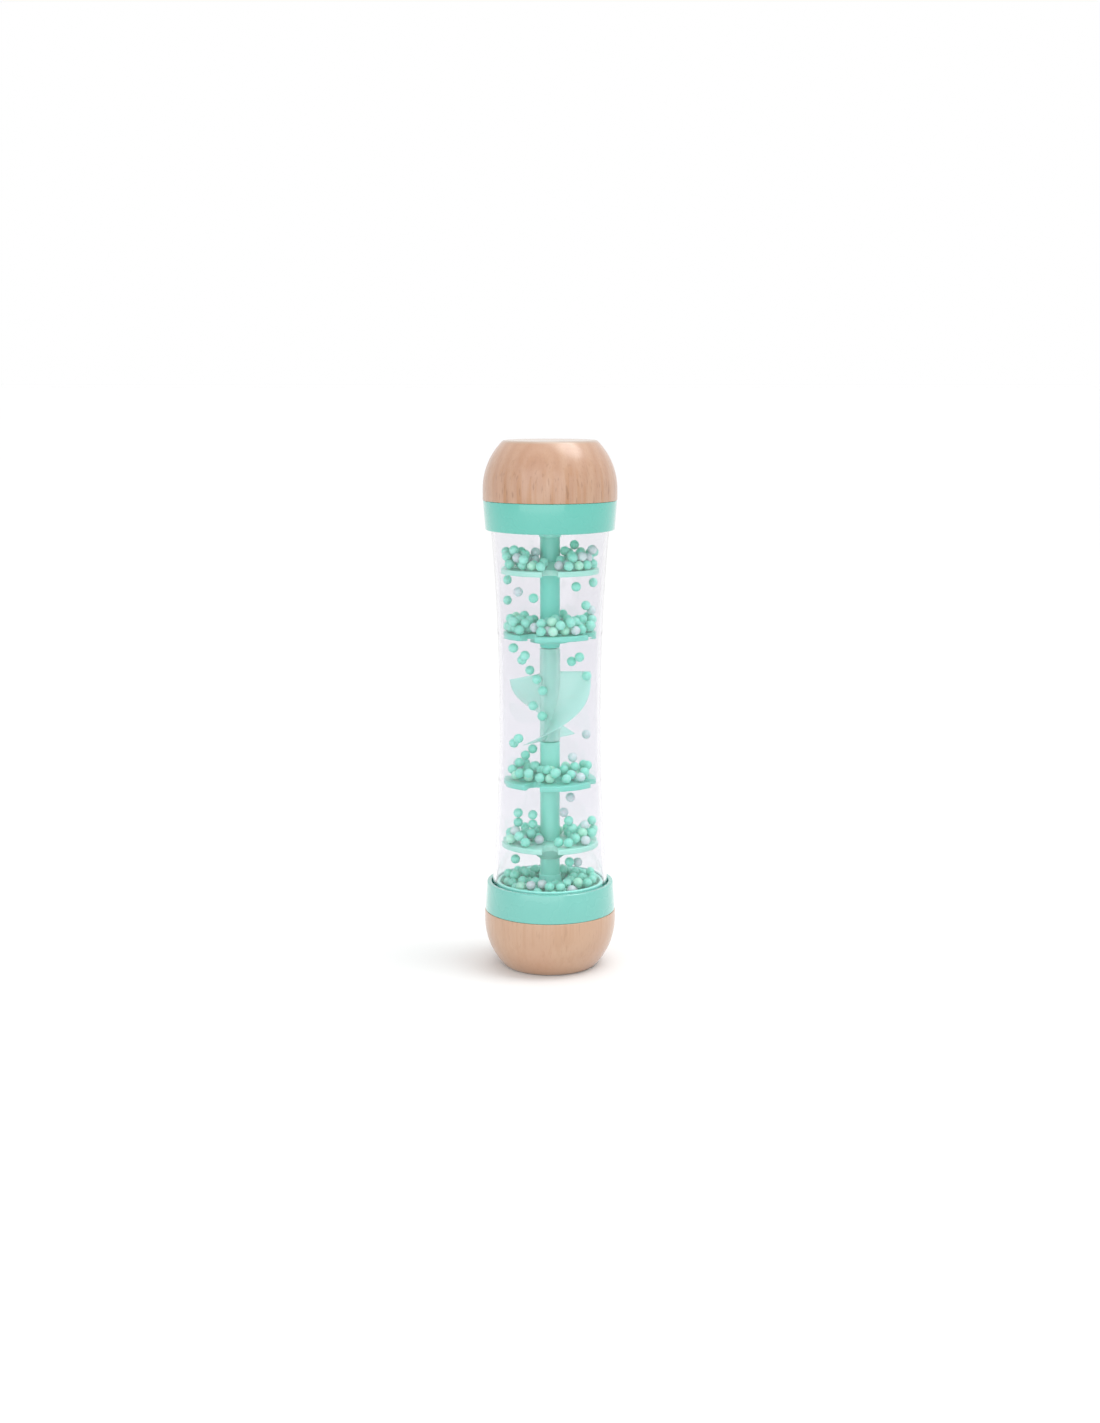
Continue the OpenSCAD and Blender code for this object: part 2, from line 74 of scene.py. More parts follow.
def rounded(corners, closed=False):
    """A polyline through corners (x, y, radius), each rounded to its radius."""
    steps = 5
    out = []
    n = len(corners)
    for i, (x, y, r) in enumerate(corners):
        ends = not closed and i in (0, n - 1)
        if r <= 0 or ends:
            out.append((x, y))
            continue
        here = Vector((x, y))
        to_last = Vector(corners[i - 1][:2]) - here
        to_next = Vector(corners[(i + 1) % n][:2]) - here
        half = to_last.angle(to_next) / 2
        reach = min(r / math.tan(half), 0.49 * to_last.length, 0.49 * to_next.length)
        r = reach * math.tan(half)
        start = here + to_last.normalized() * reach
        end = here + to_next.normalized() * reach
        inward = (to_last.normalized() + to_next.normalized()).normalized()
        centre = here + inward * (r / math.sin(half))
        for k in range(steps + 1):
            t = (start - centre).slerp(end - centre, k / steps)
            out.append(tuple(centre + t.normalized() * r))
    return out


def shade_smooth(mesh, sharp):
    """Smooth shading, but for edges sharper than that many degrees."""
    mesh.polygons.foreach_set("use_smooth", [True] * len(mesh.polygons))
    mesh.set_sharp_from_angle(angle=math.radians(sharp))


def mesh_object(name, bm, sharp=32):
    """A new object from a bmesh, shaded smooth."""
    bmesh.ops.recalc_face_normals(bm, faces=bm.faces)
    mesh = bpy.data.meshes.new(name)
    bm.to_mesh(mesh)
    bm.free()
    shade_smooth(mesh, sharp)
    obj = bpy.data.objects.new(name, mesh)
    bpy.context.scene.collection.objects.link(obj)
    return obj


def lathe_bmesh(profile, segments=160):
    """Turns a closed profile of (r, z) in millimetres about Z. It may start and end on the axis."""
    bm = bmesh.new()
    on_axis = [r < 1e-6 for r, z in profile]
    rings = []
    for (r, z), axial in zip(profile, on_axis):
        count = 1 if axial else segments
        rings.append([bm.verts.new((r * MM * math.cos(a), r * MM * math.sin(a), z * MM))
                      for a in (2 * math.pi * k / segments for k in range(count))])
    for i, ring in enumerate(rings):
        other = rings[(i + 1) % len(rings)]
        if len(ring) == 1 and len(other) == 1:
            continue
        for k in range(segments):
            j = (k + 1) % segments
            loop = [ring[k % len(ring)], ring[j % len(ring)], other[j % len(other)], other[k % len(other)]]
            loop = [v for n, v in enumerate(loop) if v not in loop[:n]]
            bm.faces.new(loop)
    return bm


def lathe(name, profile, segments=160):
    return mesh_object(name, lathe_bmesh(profile, segments))


def at_top(profile):
    """The same profile at the upper end."""
    return [(r, TOTAL_H - z) for r, z in profile]


def apply_modifiers(obj):
    graph = bpy.context.evaluated_depsgraph_get()
    mesh = bpy.data.meshes.new_from_object(obj.evaluated_get(graph))
    obj.modifiers.clear()
    old, obj.data = obj.data, mesh
    bpy.data.meshes.remove(old)
    return obj


def combine(obj, tool, operation):
    """Adds tool to obj, or cuts it out, and removes tool."""
    mod = obj.modifiers.new("combine", "BOOLEAN")
    mod.operation = operation
    mod.solver = "EXACT"
    mod.object = tool
    apply_modifiers(obj)
    bpy.data.objects.remove(tool)
    return obj


def soften(obj, width):
    """Rounds an object's sharp edges."""
    bevel = obj.modifiers.new("bevel", "BEVEL")
    bevel.width = width * MM
    bevel.segments = 2
    bevel.limit_method = "ANGLE"
    bevel.angle_limit = math.radians(35)
    bevel.harden_normals = False
    apply_modifiers(obj)
    shade_smooth(obj.data, 40)
    return obj


def stand_for(obj, node, material):
    """obj takes the place, body and slot of a CAD node."""
    obj.data.materials.clear()
    obj.data.materials.append(material)
    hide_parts(node)
    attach(obj, BODY_OF[node])
    return obj


def paint_cad(node, material):
    for slot in NODES[node].material_slots:
        slot.material = material


# ---- materials -------------------------------------------------------------

class Shader:
    """A material's node tree, with short calls for the nodes used here."""

    def __init__(self, name):
        self.material = bpy.data.materials.new(name)
        self.material.use_nodes = True
        self.tree = self.material.node_tree
        self.bsdf = self.tree.nodes["Principled BSDF"]
        self.output = self.tree.nodes["Material Output"]
        self.place = self.add("ShaderNodeTexCoord").outputs["Object"]

    def add(self, kind, **settings):
        node = self.tree.nodes.new(kind)
        for key, value in settings.items():
            setattr(node, key, value)
        return node

    def link(self, out, socket):
        self.tree.links.new(out, socket)

    def set(self, **values):
        for key, value in values.items():
            socket = self.bsdf.inputs[key.replace("_", " ")]
            if isinstance(value, bpy.types.NodeSocket):
                self.link(value, socket)
            else:
                socket.default_value = value

    def scaled(self, x, y, z, offset=(0, 0, 0)):
        """Object coordinates times x, y and z per millimetre, then moved by the offset."""
        node = self.add("ShaderNodeMapping")
        node.inputs["Location"].default_value = offset
        node.inputs["Scale"].default_value = (x / MM, y / MM, z / MM)
        self.link(self.place, node.inputs["Vector"])
        return node.outputs["Vector"]

    def band(self, start, end):
        """Goes from 0 to 1 between two distances from the stick's middle, in millimetres along it."""
        split = self.add("ShaderNodeSeparateXYZ")
        self.link(self.place, split.inputs[0])
        from_middle = self.math("ABSOLUTE", self.math("SUBTRACT", split.outputs["Z"], MID_Z * MM))
        node = self.add("ShaderNodeMapRange")
        self.link(from_middle, node.inputs["Value"])
        node.inputs["From Min"].default_value = start * MM
        node.inputs["From Max"].default_value = end * MM
        return node.outputs[0]

    def noise(self, vector, detail=3.0, roughness=0.5, distortion=0.0):
        node = self.add("ShaderNodeTexNoise")
        self.link(vector, node.inputs["Vector"])
        node.inputs["Scale"].default_value = 1
        node.inputs["Detail"].default_value = detail
        node.inputs["Roughness"].default_value = roughness
        node.inputs["Distortion"].default_value = distortion
        return node.outputs["Fac"]

    def ramp(self, fac, *stops):
        node = self.add("ShaderNodeValToRGB")
        elements = node.color_ramp.elements
        while len(elements) < len(stops):
            elements.new(0.5)
        for element, (at, colour) in zip(elements, stops):
            element.position = at
            element.color = (*colour, 1) if isinstance(colour, tuple) else (colour, colour, colour, 1)
        self.link(fac, node.inputs["Fac"])
        return node.outputs["Color"]

    def mix(self, fac, a, b):
        """The colour a, turned into b as fac goes from 0 to 1."""
        node = self.add("ShaderNodeMix", data_type="RGBA")
        for value, socket in ((fac, node.inputs[0]), (a, node.inputs[6]), (b, node.inputs[7])):
            if isinstance(value, bpy.types.NodeSocket):
                self.link(value, socket)
            elif socket.type == "RGBA":
                socket.default_value = (*value, 1)
            else:
                socket.default_value = value
        return node.outputs[2]

    def share(self, amount, fac):
        """fac times an amount, which is a number or another socket."""
        return self.math("MULTIPLY", fac, amount)

    def math(self, operation, a, b=0.0):
        node = self.add("ShaderNodeMath", operation=operation)
        for value, socket in ((a, node.inputs[0]), (b, node.inputs[1])):
            if isinstance(value, bpy.types.NodeSocket):
                self.link(value, socket)
            else:
                socket.default_value = value
        return node.outputs[0]

    def bump(self, height, depth_mm, strength):
        node = self.add("ShaderNodeBump")
        node.inputs["Strength"].default_value = strength
        node.inputs["Distance"].default_value = depth_mm * MM
        self.link(height, node.inputs["Height"])
        self.link(node.outputs["Normal"], self.bsdf.inputs["Normal"])


WOOD_TONES = ((0.43, 0.245, 0.155), (0.455, 0.282, 0.180))
RING_TONE = (0.36, 0.18, 0.10)
FIBRE_TONE = (0.32, 0.16, 0.08)
STREAK_TONE = (0.36, 0.165, 0.060)
FLECK_TONE = (0.19, 0.085, 0.035)
# A painted pale sheen for each cap's flat end, standing in for a glancing reflection of the white room.
FLAT_END_SHEEN_TONE = (0.36, 0.29, 0.225)
RING_OFFSET = (5, 24, -80)
# Distances from the stick's middle, in millimetres.
STREAKS_START, STREAKS_FULL = 95, 77
FLAT_SHEEN_START, FLAT_SHEEN_FULL = MID_Z - 1, MID_Z - 0.2


def beech(name, seed, figure, painted_lift=1.0):
    """Turned beech, grain along the stick, streaked near its joint, with a painted pale sheen on its flat
    end.

    figure is how strongly its rings, fibres and flecks show, and the last factor lifts its whole colour as
    painted light.
    """
    s = Shader(name)
    wander = s.noise(s.scaled(0.045, 0.045, 0.02, offset=(seed, 0, 0)), detail=2)
    rings = s.add("ShaderNodeTexWave", wave_type="RINGS", rings_direction="SPHERICAL", wave_profile="SIN")
    rings.inputs["Scale"].default_value = 0.062
    rings.inputs["Distortion"].default_value = 1.4
    rings.inputs["Detail"].default_value = 2
    rings.inputs["Detail Scale"].default_value = 0.2
    s.link(s.scaled(1, 1, 0.42, offset=RING_OFFSET), rings.inputs["Vector"])
    fibres = s.noise(s.scaled(2.0, 2.0, 0.05, offset=(3 * seed, 0, 0)), detail=4, roughness=0.6)
    wide_fibres = s.noise(s.scaled(0.55, 0.55, 0.02, offset=(5, seed, 0)), detail=2)
    streaks = s.ramp(wide_fibres, (0.48, 0.0), (0.64, 1.0))
    specks = s.noise(s.scaled(1.3, 1.3, 0.2, offset=(seed * 7, 2, 5)), detail=1.5, roughness=0.4)
    flecks = s.ramp(specks, (0.60, 0.0), (0.68, 1.0))
    near_joint = s.share(figure, s.band(STREAKS_START, STREAKS_FULL))
    # Painted sheen over the last millimetre before each flat end.
    flat_end_sheen = s.band(FLAT_SHEEN_START, FLAT_SHEEN_FULL)
    pinkish, yellowish = (tuple(painted_lift * c for c in tone) for tone in WOOD_TONES)
    tone = s.ramp(wander, (0.34, pinkish), (0.66, yellowish))
    for fac, colour in (
        (s.share(0.42 * figure, rings.outputs["Fac"]), RING_TONE),
        (s.share(0.20 * figure, s.ramp(fibres, (0.36, 0.0), (0.66, 1.0))), FIBRE_TONE),
        (s.share(s.math("ADD", s.share(0.7, near_joint), 0.1), streaks), STREAK_TONE),
        (s.share(s.math("ADD", s.share(0.5, near_joint), 0.06), flecks), FLECK_TONE),
        (s.share(0.7, flat_end_sheen), FLAT_END_SHEEN_TONE),
    ):
        tone = s.mix(fac, tone, colour)
    s.set(
        Base_Color=tone, Roughness=s.ramp(fibres, (0.3, 0.38), (0.7, 0.5)), Specular_IOR_Level=0.5,
        Coat_Weight=1.0, Coat_Roughness=0.24,
    )
    s.bump(s.math("SUBTRACT", fibres, s.share(0.4, flecks)), 0.02, 0.25)
    return s.material


def moulded(name, colour, deep, roughness=0.3, subsurface=0.1, alpha=1.0, coat=0.35, coat_roughness=0.05):
    """Moulded plastic: a faint flow pattern in the colour, a varying gloss and a fine skin."""
    s = Shader(name)
    flow = s.noise(s.scaled(0.09, 0.09, 0.05), detail=3, distortion=0.6)
    gloss = s.noise(s.scaled(0.12, 0.12, 0.12), detail=2)
    skin = s.noise(s.scaled(0.5, 0.5, 0.5), detail=2)
    s.set(
        Base_Color=s.mix(s.ramp(flow, (0.35, 0.0), (0.68, 1.0)), colour, deep),
        Roughness=s.ramp(gloss, (0.3, roughness), (0.7, roughness + 0.06)),
        IOR=1.49, Coat_Weight=coat, Coat_Roughness=coat_roughness, Alpha=alpha,
        Subsurface_Weight=subsurface, Subsurface_Radius=(0.6, 1.0, 0.9), Subsurface_Scale=0.0012,
    )
    s.bump(skin, 0.003, 0.05)
    return s.material


def bead_plastic(name, colour, other, roughness, coat):
    """Bead plastic: each bead is between two colours, by the tone attribute of its mesh."""
    s = Shader(name)
    tone = s.add("ShaderNodeAttribute", attribute_name="tone")
    swirl = s.noise(s.scaled(0.5, 0.5, 0.5), detail=3, distortion=1.2)
    shade = s.mix(tone.outputs["Fac"], colour, other)
    darker = tuple(0.86 * c for c in colour)
    s.set(
        Base_Color=s.mix(s.ramp(swirl, (0.45, 0.0), (0.75, 0.5)), shade, darker),
        Roughness=s.ramp(swirl, (0.3, roughness), (0.7, roughness + 0.08)),
        IOR=1.5, Coat_Weight=coat, Coat_Roughness=0.1,
        Subsurface_Weight=0.5, Subsurface_Radius=(0.6, 1.0, 0.9), Subsurface_Scale=0.0012,
    )
    s.bump(s.noise(s.scaled(2, 2, 2), detail=2), 0.01, 0.2)
    return s.material


# Where the painted shade on the tube starts and where it is full, in millimetres from the stick's middle.
WAIST_SHADE_START, WAIST_SHADE_FULL = 65, 35


def clear_plastic(name):
    """Clear moulded plastic, with painted shade that makes it a little darker at the waist.

    Lamps reach what is inside it as if through a plain pane.
    """
    s = Shader(name)
    wave = s.noise(s.scaled(0.06, 0.06, 0.025), detail=2)
    tint = s.mix(s.ramp(wave, (0.3, 0.0), (0.7, 1.0)), (0.890, 0.886, 0.910), (0.902, 0.898, 0.920))
    haze = s.noise(s.scaled(0.2, 0.2, 0.2), detail=3)
    s.set(
        # Painted shade: the tint darkens towards the waist.
        Base_Color=s.mix(s.band(WAIST_SHADE_START, WAIST_SHADE_FULL), tint, (0.850, 0.846, 0.878)),
        Roughness=s.ramp(haze, (0.4, 0.0), (0.8, 0.03)),
        Transmission_Weight=1.0, IOR=1.46,
    )
    s.bump(wave, 0.03, 0.15)
    pane = s.add("ShaderNodeBsdfTransparent")
    pane.inputs["Color"].default_value = (0.95, 0.95, 0.965, 1)
    rays = s.add("ShaderNodeLightPath")
    lamp_or_diffuse = s.math("MAXIMUM", rays.outputs["Is Shadow Ray"], rays.outputs["Is Diffuse Ray"])
    mixed = s.add("ShaderNodeMixShader")
    s.link(lamp_or_diffuse, mixed.inputs[0])
    s.link(s.bsdf.outputs[0], mixed.inputs[1])
    s.link(pane.outputs[0], mixed.inputs[2])
    s.link(mixed.outputs[0], s.output.inputs["Surface"])
    return s.material


def zinc(name):
    """Zinc-plated screw steel with a brushed, slightly mottled plating."""
    s = Shader(name)
    mottle = s.noise(s.scaled(1.2, 1.2, 1.2), detail=4)
    s.set(
        Base_Color=s.ramp(mottle, (0.3, (0.60, 0.61, 0.63)), (0.7, (0.74, 0.75, 0.77))),
        Roughness=s.ramp(mottle, (0.3, 0.28), (0.7, 0.42)), Metallic=1.0,
    )
    s.bump(mottle, 0.01, 0.4)
    return s.material


COLLAR_GLOSS = {"roughness": 0.24, "subsurface": 0, "coat": 1.0, "coat_roughness": 0.02}
# The lower cap is the same beech made 8 % brighter: painted light, as if lit from below by the floor.
BEECH_LOW = beech("beech_lower", seed=1, figure=0.2, painted_lift=1.08)
BEECH_TOP = beech("beech_upper", seed=2, figure=1)
MINT_TOP = moulded("mint_plastic", (0.088, 0.430, 0.360), (0.084, 0.422, 0.352), **COLLAR_GLOSS)
# A lighter copy of the collar plastic for the lower collar: painted light, as if lit from below.
MINT_LOW_LIT = moulded("mint_plastic_lit", (0.135, 0.455, 0.395), (0.130, 0.447, 0.387), **COLLAR_GLOSS)
DEEP_MINT = moulded("deep_mint_plastic", (0.30, 0.88, 0.74), (0.28, 0.85, 0.71))
SHELF_MINT = moulded("shelf_mint_plastic", (0.19, 0.68, 0.55), (0.17, 0.65, 0.52))
STEM_MINT = moulded("stem_mint_plastic", (0.15, 0.71, 0.575), (0.13, 0.68, 0.545), subsurface=0.2)
# A lighter copy of the stem plastic for the lower post: painted light, as if lit from below.
POST_MINT_LIT = moulded("post_mint_plastic", (0.26, 0.77, 0.63), (0.24, 0.74, 0.60), subsurface=0.2)
PALE_MINT = moulded("pale_mint_plastic", (0.40, 0.79, 0.67), (0.36, 0.76, 0.64), subsurface=0.3, alpha=0.97)
VANE_MINT = moulded("vane_mint_plastic", (0.51, 0.87, 0.77), (0.46, 0.84, 0.74), subsurface=0.3, alpha=0.62)
CLEAR = clear_plastic("clear_plastic")
ZINC = zinc("zinc_steel")
BEAD_COLOURS = {
    "bead_mint": ((0.23, 0.72, 0.57), (0.33, 0.79, 0.66), 0.32, 0.1),
    "bead_lime": ((0.38, 0.80, 0.60), (0.47, 0.83, 0.68), 0.32, 0.1),
    "bead_pearl": ((0.56, 0.62, 0.65), (0.60, 0.73, 0.72), 0.22, 0.3),
}
BEAD_PAINT = {name: bead_plastic(name, *look) for name, look in BEAD_COLOURS.items()}


# ---- wooden caps -----------------------------------------------------------

CAP_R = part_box("wooden_cap_bottom")[1].x / MM
CAP_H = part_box("wooden_cap_bottom")[1].z / MM
FLAT_R = 17.3
FLAT_EDGE = 1.6
RECESS_R = 19.6
RECESS_H = 4
BAND_H = 3


def cap_profile():
    """The flat, its rounded edge, the dome and the glue recess."""
    dome_z = math.sqrt(CAP_R ** 2 - FLAT_R ** 2)
    reach = CAP_R - FLAT_EDGE
    edge_x = math.sqrt(reach ** 2 - (dome_z - FLAT_EDGE) ** 2)
    meet = math.degrees(math.atan2(FLAT_EDGE - dome_z, edge_x))
    edge = arc(edge_x, FLAT_EDGE, FLAT_EDGE, -90, meet, 8)
    dome = arc(0, dome_z, CAP_R, meet, 0, 40)[1:]
    top = rounded([(CAP_R, CAP_H - BAND_H, 0), (CAP_R, CAP_H, 0.3), (RECESS_R, CAP_H, 0.3),
                   (RECESS_R, CAP_H - RECESS_H, 0.4), (0, CAP_H - RECESS_H, 0)])
    flat = [(r, 0) for r in (0, 6, 11, 14)]
    return flat + edge + dome + top


stand_for(lathe("turned_cap_bottom", cap_profile(), 192), "wooden_cap_bottom", BEECH_LOW)
stand_for(lathe("turned_cap_top", at_top(cap_profile()), 192), "wooden_cap_top", BEECH_TOP)


# ---- collars, end cups and stem --------------------------------------------

COLLAR_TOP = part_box("collar_bottom")[1].z / MM
COLLAR_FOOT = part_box("collar_bottom")[0].z / MM
COLLAR_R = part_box("collar_bottom")[1].x / MM
COLLAR_RIM_R = 24.1
COLLAR_HOLE_R = 6
PLUG_R = 19.5
LIP_R = 22.35
LIP_H = 1.8
LIP_SLOPE = 0.75
BAND_R = 23.1
WEB_Z = CAP_H + 1.6
GAP = 0.02


def collar_profile():
    """The plug in the wood, the tapered band, and the lip that holds the tube's flange."""
    lip_foot = COLLAR_TOP - LIP_H
    return rounded([
        (COLLAR_HOLE_R, COLLAR_FOOT, 0.2), (PLUG_R, COLLAR_FOOT, 0.3), (PLUG_R, CAP_H, 0.1),
        (COLLAR_R, CAP_H + GAP, 0.35), (COLLAR_RIM_R, COLLAR_TOP, 0.55), (LIP_R, COLLAR_TOP, 0.3),
        (LIP_R, lip_foot, 0.2), (BAND_R, lip_foot - LIP_SLOPE, 0.2), (BAND_R, WEB_Z, 0.3),
        (COLLAR_HOLE_R, WEB_Z, 0.2),
    ], closed=True)


stand_for(lathe("moulded_collar_bottom", collar_profile()), "collar_bottom", MINT_LOW_LIT)
stand_for(lathe("moulded_collar_top", at_top(collar_profile())), "collar_top", MINT_TOP)

CUP_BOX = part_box("end_cup_bottom")
CUP_FLANGE_R = CUP_BOX[1].x / MM
BOSS_TOP = CUP_BOX[1].z / MM
SEAT_Z = CUP_BOX[0].z / MM
CUP_R = 20.2
CUP_WALL = 1.2
CUP_RIM = COLLAR_TOP + 0.4
CUP_FLOOR = WEB_Z + 3.6
CUP_FLOOR_T = 2
CUP_FLOOR_FILLET = 1.6
CUP_FOOT_R = CUP_R - 2
CUP_FLANGE_T = 1.1
POST_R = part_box("lower_post")[1].x / MM
BOSS_TIP_R = POST_R + 0.45
BOSS_FOOT_R = 7.5


def cup_profile():
    """The flange, the wall, the floor and the post's hollow-flared socket."""
    inner = CUP_R - CUP_WALL
    underside = CUP_FLOOR - CUP_FLOOR_T
    flange_top = SEAT_Z + CUP_FLANGE_T
    bore = POST_R + GAP
    rise = BOSS_TOP - CUP_FLOOR
    flare_a = 2 * math.atan2(BOSS_FOOT_R - BOSS_TIP_R, rise)
    flare_r = rise / math.sin(flare_a)
    socket = arc(BOSS_TIP_R + flare_r, BOSS_TOP, flare_r, 180 + math.degrees(flare_a), 180, 16)
    return rounded([
        (bore, underside, 0), (CUP_FOOT_R, underside, 0.2), (CUP_FOOT_R, SEAT_Z, 0.2),
        (CUP_FLANGE_R, SEAT_Z, 0.2), (CUP_FLANGE_R, flange_top, 0.2), (CUP_R, flange_top, 0.3),
        (CUP_R, CUP_RIM, 0.55), (inner, CUP_RIM, 0.55), (inner, CUP_FLOOR, CUP_FLOOR_FILLET),
        *((x, z, 0) for x, z in socket[:-1]), (BOSS_TIP_R, BOSS_TOP, 0.2), (bore, BOSS_TOP, 0.1),
    ], closed=True)


stand_for(lathe("moulded_cup_bottom", cup_profile()), "end_cup_bottom", DEEP_MINT)
stand_for(lathe("moulded_cup_top", at_top(cup_profile())), "end_cup_top", DEEP_MINT)

AXLE_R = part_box("spinner_axle")[1].x / MM
AXLE_HOLE = (AXLE_R + GAP, 12)
SCREW_HOLE = (1.22, 9)


def post_profile(low, high, bottom_hole, top_hole):
    """A post with a hole in each end, given by radius and depth."""
    bottom_r, bottom_depth = bottom_hole
    top_r, top_depth = top_hole
    return rounded([
        (0, low + bottom_depth, 0), (bottom_r, low + bottom_depth, 0), (bottom_r, low, 0.1),
        (POST_R, low, 0.35), (POST_R, high, 0.35),
        (top_r, high, 0.1), (top_r, high - top_depth, 0), (0, high - top_depth, 0),
    ])


# The lower post takes the lighter copy of the stem plastic: painted light.
for post, *holes, paint in (
    ("lower_post", SCREW_HOLE, AXLE_HOLE, POST_MINT_LIT),
    ("upper_post", AXLE_HOLE, SCREW_HOLE, STEM_MINT),
):
    low, high = (corner.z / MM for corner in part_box(post))
    stand_for(lathe("moulded_" + post, post_profile(low, high, *holes), 64), post, paint)
paint_cad("spinner_axle", STEM_MINT)


# ---- clear tube ------------------------------------------------------------

TUBE_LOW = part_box("clear_tube")[0].z / MM
TUBE_FLANGE_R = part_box("clear_tube")[1].x / MM
TUBE_FLANGE_T = 1.4
TUBE_WALL = 1.3
WAIST_R = 19.2
TUBE_END_R = 22.0
FLANGE_BLEND = 0.6
INNER_SHELF = 28
RING_HEIGHT = 0.04
RING_HALF_WIDTH = 0.7


def tube_r(z):
    """Outer radius of the tube: one long arc between the collars."""
    half = MID_Z - COLLAR_TOP
    flare = TUBE_END_R - WAIST_R
    sweep = (half ** 2 + flare ** 2) / (2 * flare)
    return WAIST_R + sweep - math.sqrt(sweep ** 2 - (z - MID_Z) ** 2)


def tube_profile():
    """The waisted wall, a flange at each end, and a moulded ring level with each inner shelf."""
    steps, ring_steps = 70, 5
    flange_top = TUBE_LOW + TUBE_FLANGE_T
    low = flange_top + FLANGE_BLEND
    high = TOTAL_H - low
    plain = [low + (high - low) * i / steps for i in range(steps + 1)]
    rings = [MID_Z + side * INNER_SHELF + RING_HALF_WIDTH * k / ring_steps
             for side in (-1, 1) for k in range(-ring_steps, ring_steps + 1)]
    levels = sorted(z for z in plain if all(abs(z - r) > 0.1 for r in rings)) + rings
    outside = []
    for z in sorted(levels):
        off = min(abs(abs(z - MID_Z) - INNER_SHELF) / RING_HALF_WIDTH, 1)
        outside.append((tube_r(z) + RING_HEIGHT * 0.5 * (1 + math.cos(math.pi * off)), z))
    inside = [(tube_r(z) - TUBE_WALL, z) for z in reversed(plain)]
    inner_end = tube_r(TUBE_LOW) - TUBE_WALL
    flange_low = rounded([
        (inner_end, TUBE_LOW, 0.2), (TUBE_FLANGE_R, TUBE_LOW, 0.3), (TUBE_FLANGE_R, flange_top, 0.3),
        (tube_r(low), flange_top, 0.15)])
    flange_high = [(r, TOTAL_H - z) for r, z in reversed(flange_low)]
    return flange_low + outside + flange_high + inside


stand_for(lathe("moulded_tube", tube_profile(), 256), "clear_tube", CLEAR)


# ---- shelves ---------------------------------------------------------------

SHELF_T = 2.0
SLOT_R = 2.6
SLOT_IN = 4.6
HOLE_R = 2.5
HOLE_RING_R = 10.6
OPENINGS = 4
CONE_R = 10.5
CONE_TIP_R = POST_R + 0.6
HUB_FLANGE_R = 7.5
HUB_FLANGE_H = 2


def shelf_profile(r, cone_h):
    """A plate centred on z = 0 with its hub above it: a cone, or a flange where cone_h is 0."""
    top = SHELF_T / 2
    bore = POST_R + GAP
    hub_top = top + (cone_h or HUB_FLANGE_H)
    if cone_h:
        hub = [(CONE_R, top, 0.9), (CONE_TIP_R, hub_top, 0.3), (bore, hub_top, 0.1)]
    else:
        hub = [(HUB_FLANGE_R, top, 0.2), (HUB_FLANGE_R, hub_top, 0.5), (bore, hub_top, 0.1)]
    return rounded([(bore, -top, 0.1), (r, -top, 0.35), (r, top, 0.35)] + hub, closed=True)


def shelf_cutter(r, turn):
    """The rim slots and the round holes between them, as one solid."""
    bm = bmesh.new()
    length = 30 * MM
    past_rim = r + 1
    mouth = SLOT_R + 0.5
    slot = arc(r - SLOT_IN, 0, SLOT_R, 90, 270, 20) + [(past_rim, -mouth), (past_rim, mouth)]
    hole = arc(HOLE_RING_R, 0, HOLE_R, 0, 354, 59)
    for i in range(OPENINGS):
        for points, step in ((slot, i), (hole, i + 0.5)):
            turned = Matrix.Rotation(math.radians(turn + 360 / OPENINGS * step), 4, "Z")
            verts = [bm.verts.new(turned @ Vector((x * MM, y * MM, -length / 2))) for x, y in points]
            face = bm.faces.new(verts)
            grown = bmesh.ops.extrude_face_region(bm, geom=[face])["geom"]
            top = [v for v in grown if isinstance(v, bmesh.types.BMVert)]
            bmesh.ops.translate(bm, vec=(0, 0, length), verts=top)
    return mesh_object("cutter", bm)


def shelf(node, turn, faces_up, cone_h):
    """A shelf with its hub above it, or below it where it doesn't face up."""
    low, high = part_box(node)
    r = high.x / MM
    plate_z = low.z / MM + SHELF_T / 2 if faces_up else high.z / MM - SHELF_T / 2
    profile = shelf_profile(r, cone_h)
    if not faces_up:
        profile = [(pr, -z) for pr, z in profile]
    obj = lathe("moulded_" + node, profile, 144)
    combine(obj, shelf_cutter(r, turn), "DIFFERENCE")
    soften(obj, 0.18)
    obj.data.transform(Matrix.Translation((0, 0, plate_z * MM)))
    return stand_for(obj, node, PALE_MINT if cone_h else SHELF_MINT)


# Each shelf's slot direction in degrees, whether it faces up, and its cone's height, 0 for a flange.
for node, turn, faces_up, cone_h in (
    ("shelf_1", 0, True, 2.4), ("shelf_2", 62, False, 0),
    ("shelf_3", -22, True, 0), ("shelf_4", 0, False, 5),
):
    shelf(node, turn, faces_up, cone_h)


# ---- spinner ---------------------------------------------------------------

VANE_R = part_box("spinner")[1].x / MM
VANE_LOW, VANE_HIGH = 87.6, 113.8
VANE_TWIST = 130
VANE_POWER = 1.6
VANE_T = 1.0
VANE_EDGE_R = 0.6
ROOT_FILLET = 0.35
LEFT_DROP = 3.4
HUB_R = 3.85


def vane_angle(z):
    """How far a blade has turned at a height, in radians. It twists faster towards its foot."""
    u = max(0.0, (VANE_HIGH - z) / (VANE_HIGH - VANE_LOW))
    return math.radians(VANE_TWIST * u ** VANE_POWER)


